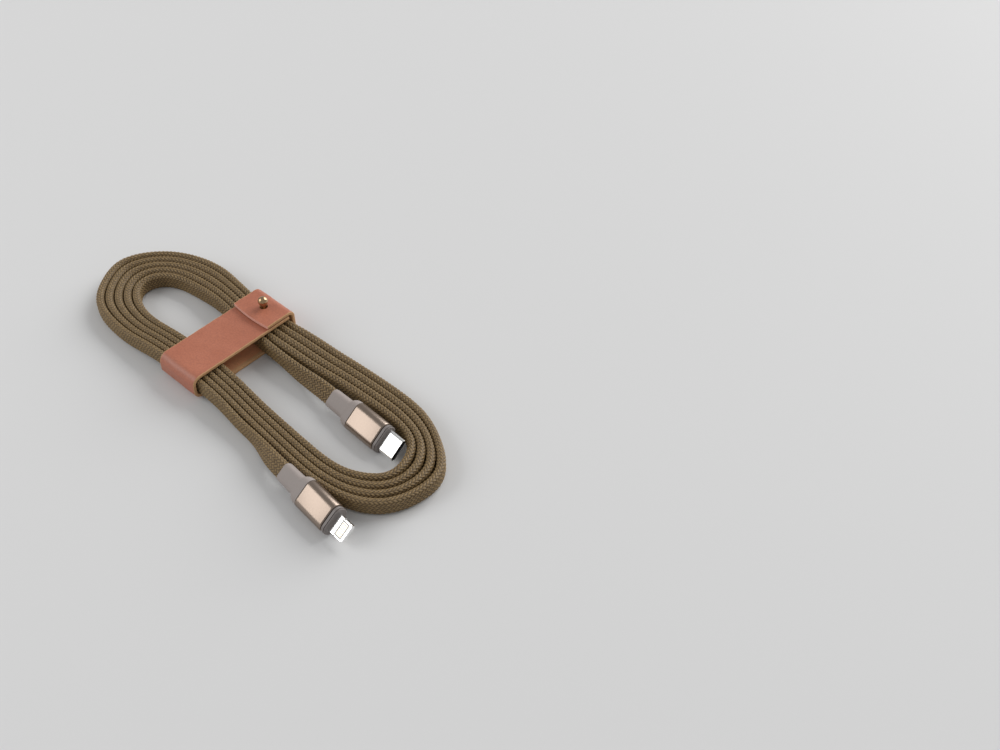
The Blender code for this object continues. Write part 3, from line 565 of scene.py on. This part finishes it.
def surface_look(name, colour, roughness, metallic=0.0, grain=900, depth=0.02, spread=0.12):
    """A plain finish with fine mottling in its colour, its gloss and its relief."""
    look, tree, shader = node_look(name, roughness, metallic)
    fine = noise(tree, grain)
    dark = tuple(value * (1 - spread) for value in colour)
    light = tuple(min(1, value * (1 + spread)) for value in colour)
    tree.links.new(blend_colours(tree, fine, dark, light), shader.inputs["Base Color"])
    tree.links.new(maths(tree, "MULTIPLY_ADD", fine, 0.16, roughness - 0.08, clamp=True),
                   shader.inputs["Roughness"])
    bump(tree, shader, fine, depth)
    return look


def leather_look():
    """Terracotta leather: a fine pebbled grain over broad, uneven colour, with painted shade in its creases.
    """
    look, tree, shader = node_look("terracotta_grain", 0.48)
    places = tree.nodes.new("ShaderNodeTexCoord").outputs["Object"]
    cells = add(tree, "ShaderNodeTexVoronoi", Vector=places, Scale=1500.0)
    broad = noise(tree, 110, detail=5)
    colour = blend_colours(tree, broad, LEATHER_DARK, LEATHER_LIGHT)
    # Painted shade: the grain's creases darken where its relief is lowest.
    crease_shade = maths(tree, "MULTIPLY_ADD", cells.outputs["Distance"], 0.55, 0.0, clamp=True)
    colour = blend_colours(tree, crease_shade, colour, LEATHER_CREASE_SHADE)
    tree.links.new(colour, shader.inputs["Base Color"])
    tree.links.new(maths(tree, "MULTIPLY_ADD", broad, 0.20, 0.34), shader.inputs["Roughness"])
    shader.inputs["Coat Weight"].default_value = 0.12
    shader.inputs["Coat Roughness"].default_value = 0.40
    relief = maths(tree, "MULTIPLY_ADD", cells.outputs["Distance"], -0.5, noise(tree, 420))
    bump(tree, shader, relief, 0.05)
    return look


# ---------------------------------------------------------------- the strap

LEATHER = 1.36
STRAP_WIDTH = 18.8
LEATHER_EDGE = 0.32  # the rounding of its edges
PATH_STEP = 0.4
STUD_Y = 17.1
STUD_BALL = (13.9, 1.85)  # the ball's centre above the floor, and its radius
HOLE_RADIUS = 1.5
HOLE_FLARE = 1.2

# The leather's middle line, seen along the hank: how high each layer lies and how far out its wall stands.
LOWER_LAYER = 0.7
BAND_LAYER = 9.1
FLAP_LAYER = 10.8
WALL = 22.8
BAND_END = 20.8
FLAP_END = 10.3
LEFT_BEND = 2.8
FLAP_LOW_BEND = 1.5
FLAP_TOP_BEND = 2.1
STRAP_FRAME = Matrix.Translation((*STRAP_PLACE, 0)) @ Matrix.Rotation(STRAP_YAW, 4, "Z")


def along_path(*legs):
    """Points along straight runs and arcs in the strap's own (across, up) plane."""
    points = []
    for leg in legs:
        if leg[0] == "line":
            start, end = np.array(leg[1], float), np.array(leg[2], float)
            count = max(2, round(np.linalg.norm(end - start) / PATH_STEP))
            points += [start + (end - start) * t for t in np.linspace(0, 1, count, endpoint=False)]
        else:
            (y, z), radius, start, end = leg[1:]
            count = max(4, round(abs(math.radians(end - start)) * radius / (PATH_STEP * 0.5)))
            points += [np.array((y + radius * math.cos(a), z + radius * math.sin(a)))
                       for a in np.radians(np.linspace(start, end, count, endpoint=False))]
    return np.array(points + [np.array(legs[-1][2], float)])


def leather_section():
    """Places across the strap's width and its thickness, and the finish of the face that follows each."""
    half, thick, edge = STRAP_WIDTH / 2, LEATHER / 2, LEATHER_EDGE
    outer = [(x, thick, 0) for x in np.linspace(-half + edge, half - edge, 44)]
    turn = np.radians(np.linspace(75, 0, 5))
    right = [(half - edge + edge * math.cos(a), thick - edge + edge * math.sin(a), 1) for a in turn]
    low = [(half - edge + edge * math.cos(a), -thick + edge + edge * math.sin(a), 1)
           for a in np.radians(np.linspace(0, -90, 5))]
    inner = [(x, -thick, 2) for x in np.linspace(half - edge, -half + edge, 20)[1:]]
    left = [(-x, n, 1) for x, n, _ in (right + low)[::-1]][1:]
    return outer + right + low + inner + left


def leather_strip(name, path, end_look=1, bow=0.0):
    """A strip of leather along a path, with rounded raw edges and a surface that isn't quite flat.

    Its last corners stand back by bow, so that the end curves."""
    tangent = np.gradient(path, axis=0)
    tangent /= np.linalg.norm(tangent, axis=1)[:, None]
    normal = np.stack([tangent[:, 1], -tangent[:, 0]], axis=1)
    run = np.concatenate([[0], np.cumsum(np.linalg.norm(np.diff(path, axis=0), axis=1))])
    part = leather_section()
    x = np.array([p[0] for p in part])[None, :]
    n = np.array([p[1] for p in part])[None, :]
    r = run[:, None]
    uneven = 0.035 * np.sin(r * 0.9 + 0.35 * x) + 0.03 * np.sin(0.8 * x + 0.33 * r + 1.0) - 0.05
    ragged = 0.04 * np.sin(1.7 * r) + 0.03 * np.sin(4.1 * r + 0.7)
    width = x * (1 + ragged * (np.abs(x) > STRAP_WIDTH / 2 - 0.6) / STRAP_WIDTH)
    depth = n + uneven * (n > 0)
    y = path[:, 0][:, None] + normal[:, 0][:, None] * depth
    y += bow * (2 * x / STRAP_WIDTH) ** 2 * np.clip(1 - (run[-1] - r) / 3, 0, 1)
    z = path[:, 1][:, None] + normal[:, 1][:, None] * depth
    points = np.stack([width + 0 * y, y, z], axis=-1).reshape(-1, 3)
    turn = np.array(STRAP_FRAME.to_3x3())
    points = points @ turn.T + np.array(STRAP_FRAME.translation)
    strip = make_mesh(name, points, tube_faces(len(path), len(part)))
    for look in LEATHER_LOOKS:
        strip.data.materials.append(look)
    finish = np.tile([p[2] for p in part], len(path) - 1)
    strip.data.polygons.foreach_set("material_index", finish.astype(np.int32))
    close_ends(strip, len(part), 50, smooth=False, end_look=end_look)
    return strip


def in_strap(x, y, z):
    """A place in the strap's own frame, in the row frame."""
    return STRAP_FRAME @ Vector((x, y, z))


def punch_hole(flap):
    """Cuts the stud's round hole, a little wider underneath, with raw leather on its wall."""
    mesh = bpy.data.meshes.new("punch")
    solid = bmesh.new()
    bmesh.ops.create_cone(solid, cap_ends=True, segments=48, radius1=HOLE_RADIUS * HOLE_FLARE * MM,
                          radius2=HOLE_RADIUS * MM, depth=2.4 * MM)
    solid.to_mesh(mesh)
    solid.free()
    for look in LEATHER_LOOKS:
        mesh.materials.append(look)
    for face in mesh.polygons:
        face.material_index = 1
    punch = bpy.data.objects.new("punch", mesh)
    bpy.context.scene.collection.objects.link(punch)
    punch.location = in_strap(0, STUD_Y, FLAP_LAYER) * MM
    cut = flap.modifiers.new("hole", "BOOLEAN")
    cut.object = punch
    cut.solver = "EXACT"
    bpy.context.view_layer.update()
    graph = bpy.context.evaluated_depsgraph_get()
    made = bpy.data.meshes.new_from_object(flap.evaluated_get(graph))
    flap.modifiers.clear()
    flap.data = made
    bpy.data.objects.remove(punch)


def make_strap():
    """One length of leather in two pieces that meet under the hank; the upper one's end is the flap."""
    left, low, high = LEFT_BEND - WALL, LOWER_LAYER + LEFT_BEND, BAND_LAYER - LEFT_BEND
    band = leather_strip("strap_lower", along_path(
        ("line", (BAND_END, BAND_LAYER), (left, BAND_LAYER)),
        ("arc", (left, high), LEFT_BEND, 90, 180),
        ("line", (-WALL, high), (-WALL, low)),
        ("arc", (left, low), LEFT_BEND, 180, 270),
        ("line", (left, LOWER_LAYER), (0.0, LOWER_LAYER))))
    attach(band, "strap")
    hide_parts("strap_band")
    foot, shoulder = WALL - FLAP_LOW_BEND, WALL - FLAP_TOP_BEND
    low, high = LOWER_LAYER + FLAP_LOW_BEND, FLAP_LAYER - FLAP_TOP_BEND
    flap = leather_strip("strap_upper", along_path(
        ("line", (0.0, LOWER_LAYER), (foot, LOWER_LAYER)),
        ("arc", (foot, low), FLAP_LOW_BEND, 270, 360),
        ("line", (WALL, low), (WALL, high)),
        ("arc", (shoulder, high), FLAP_TOP_BEND, 0, 90),
        ("line", (shoulder, FLAP_LAYER), (FLAP_END, FLAP_LAYER))), end_look=3, bow=0.7)
    punch_hole(flap)
    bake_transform(flap)
    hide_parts("strap_flap")


def make_stud():
    """A turned ball stud with a waisted neck, standing on its flange."""
    centre, radius = STUD_BALL
    ball = np.radians(range(88, -61, -4))
    profile = [(radius * math.cos(a), centre + radius * math.sin(a)) for a in ball]
    profile += [(0.96, 12.05), (0.93, 11.6), (0.98, 11.0), (1.15, 10.6)]
    profile += [(1.52, 10.38), (1.62, 10.3), (1.64, 9.86)]
    steps = 64
    turn = np.linspace(0, 2 * math.pi, steps, endpoint=False)
    points = [(r * math.cos(a), STUD_Y + r * math.sin(a), z) for r, z in profile for a in turn]
    points = [tuple(in_strap(*point)) for point in points]
    stud = make_mesh("ball_stud", points, tube_faces(len(profile), steps))
    close_ends(stud, steps, 40)
    brass = surface_look("antique_brass_stud", (0.46, 0.31, 0.18), 0.18, 1.0, 1200, 0.01, 0.25)
    stud.data.materials.append(brass)
    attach(stud, "strap")
    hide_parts("strap_stud")


LEATHER_LOOKS = (
    leather_look(),
    surface_look("raw_edge", (0.56, 0.32, 0.155), 0.8, 0, 2600, 0.06, 0.3),
    surface_look("suede", (0.62, 0.30, 0.15), 0.9, 0, 1800, 0.08, 0.25),
    # The flap's end face: a glossy burnished edge, with its colour painted lighter as a highlight.
    surface_look("burnished_painted_highlight_end", (0.78, 0.42, 0.33), 0.32, 0, 1800, 0.02, 0.1),
)
make_strap()
make_stud()


# ---------------------------------------------------------------- the plugs

HOUSING_SECTION = (10.6, 5.8, 2.6)  # width, height, corner
CORNER_STEPS = 10
SMALLEST_CORNER = 0.3

def outline(width, height, corner):
    """A rounded rectangle round the origin, counter-clockwise."""
    points = []
    for quarter, (sy, sz) in enumerate(((1, 1), (-1, 1), (-1, -1), (1, -1))):
        for a in np.radians(np.linspace(90 * quarter, 90 * quarter + 90, CORNER_STEPS)):
            points.append((sy * (width / 2 - corner) + corner * math.cos(a),
                           sz * (height / 2 - corner) + corner * math.sin(a)))
    return points


def loft(name, stations, matrix, look, stands_for):
    """Rounded sections (place, width, height, corner) joined along a plug's own axis."""
    rings = [[matrix @ Vector((x, y, z)) for y, z in outline(width, height, corner)]
             for x, width, height, corner in stations]
    count = len(rings[0])
    points = [tuple(point) for ring in rings for point in ring]
    piece = make_mesh(name, points, tube_faces(len(rings), count))
    close_ends(piece, count, 28)
    piece.data.materials.append(look)
    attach(piece, "cable")
    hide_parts(stands_for)
    return piece


def plug_skin(prefix, matrix):
    """Housing, collar and strain relief, with their chamfers and grooves."""
    width, height, corner = HOUSING_SECTION

    def skin(x, inset):
        return (x, width - 2 * inset, height - 2 * inset, max(SMALLEST_CORNER, corner - inset))

    housing = [skin(-15.6, 0.28), skin(-15.52, 0.14), skin(-15.36, 0.03), skin(-15.2, 0), skin(-2.5, 0),
               skin(-2.42, 0.02), skin(-2.14, 0.24), skin(-2.1, 0.3)]
    collar = [skin(-2.12, 0.75), skin(-1.74, 0.75), skin(-1.70, 0.26), skin(-1.62, 0.20), skin(-0.72, 0.20),
              skin(-0.66, 0.48), skin(-0.40, 0.48), skin(-0.34, 0.20), skin(-0.2, 0.22), skin(0, 0.42)]
    relief = [(-15.68, 10.0, 5.2, 2.3), (-15.74, 10.3, 5.5, 2.5), (-16.6, 10.3, 5.55, 2.5),
              (-17.4, 10.15, 5.45, 2.45), (-18.0, 9.7, 5.25, 2.3), (-18.55, 8.95, 4.98, 2.0),
              (-18.95, 8.1, 4.75, 1.95), (-19.3, 7.45, 4.62, 1.9), (-19.8, 7.22, 4.58, 1.85),
              (-23.5, 7.05, 4.4, 1.8), (-27.2, 6.92, 4.22, 1.75), (-27.5, 6.8, 4.12, 1.7),
              (-27.7, 6.55, 3.9, 1.6), (RELIEF_REAR, 6.2, 3.6, 1.5)]
    skins = (
        ("sleeve", housing, "champagne", "housing", "rose_aluminium"),
        ("front_collar", collar, "collar", "collar", "collar_plastic"),
        ("boot", relief, "rubber", "strain_relief", "soft_rubber"),
    )
    return [loft(f"{prefix}_{part}", stations, matrix, LOOKS[look], f"{prefix}_{node}")
            for part, stations, look, node, slot in skins]


LOOKS = {
    "champagne": surface_look("champagne_anodised", (0.32, 0.255, 0.21), 0.30, 1.0, 2600, 0.004, 0.04),
    "collar": surface_look("collar_moulding", (0.20, 0.175, 0.165), 0.42, 0, 1500, 0.01, 0.1),
    "rubber": surface_look("grey_taupe_rubber", (0.33, 0.285, 0.265), 0.55, 0, 1300, 0.015, 0.08),
    "steel": surface_look("plated_steel", (0.90, 0.90, 0.89), 0.22, 1.0, 1800, 0.004, 0.03),
    "gold": surface_look("contact_gold", (0.92, 0.80, 0.62), 0.25, 1.0, 2400, 0.004, 0.08),
    "black": surface_look("black_moulding", (0.022, 0.022, 0.024), 0.45, 0, 1600, 0.01, 0.2),
    "white": surface_look("white_moulding", (0.80, 0.79, 0.77), 0.45, 0, 1600, 0.01, 0.04),
    "board": surface_look("board_lacquer", (0.02, 0.14, 0.06), 0.4, 0, 1600, 0.01, 0.3),
    "screw": surface_look("screw_brass", (0.45, 0.32, 0.15), 0.35, 1.0, 1600, 0.01, 0.2),
    "wire_red": surface_look("wire_red", (0.5, 0.02, 0.02), 0.45, 0, 2000, 0.01, 0.1),
    "wire_black": surface_look("wire_black", (0.02, 0.02, 0.02), 0.45, 0, 2000, 0.01, 0.1),
    "wire_green": surface_look("wire_green", (0.02, 0.26, 0.06), 0.45, 0, 2000, 0.01, 0.1),
    "wire_white": surface_look("wire_white", (0.75, 0.75, 0.72), 0.45, 0, 2000, 0.01, 0.05),
}
# Part of a node's name, and its finish: the first that fits is used, and steel fits the rest.
NODE_LOOKS = (
    ("wire_red", "wire_red"),
    ("wire_black", "wire_black"),
    ("wire_green", "wire_green"),
    ("wire_white", "wire_white"),
    ("contact_carrier", "white"),
    ("contact", "gold"),
    ("insulator", "black"),
    ("circuit_board", "board"),
    ("controller_chip", "black"),
    ("inner_mould", "white"),
    ("stud_screw", "screw"),
    ("", "steel"),
)


def dress_nodes():
    """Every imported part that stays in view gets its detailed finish."""
    for name, node in NODES.items():
        if not node.hide_render:
            look = next(look for part, look in NODE_LOOKS if part in name)
            node.data.materials.clear()
            node.data.materials.append(LOOKS[look])


SKINS = plug_skin("usb_c", USB_C_FRAME) + plug_skin("tab_plug", TAB_FRAME)
dress_nodes()
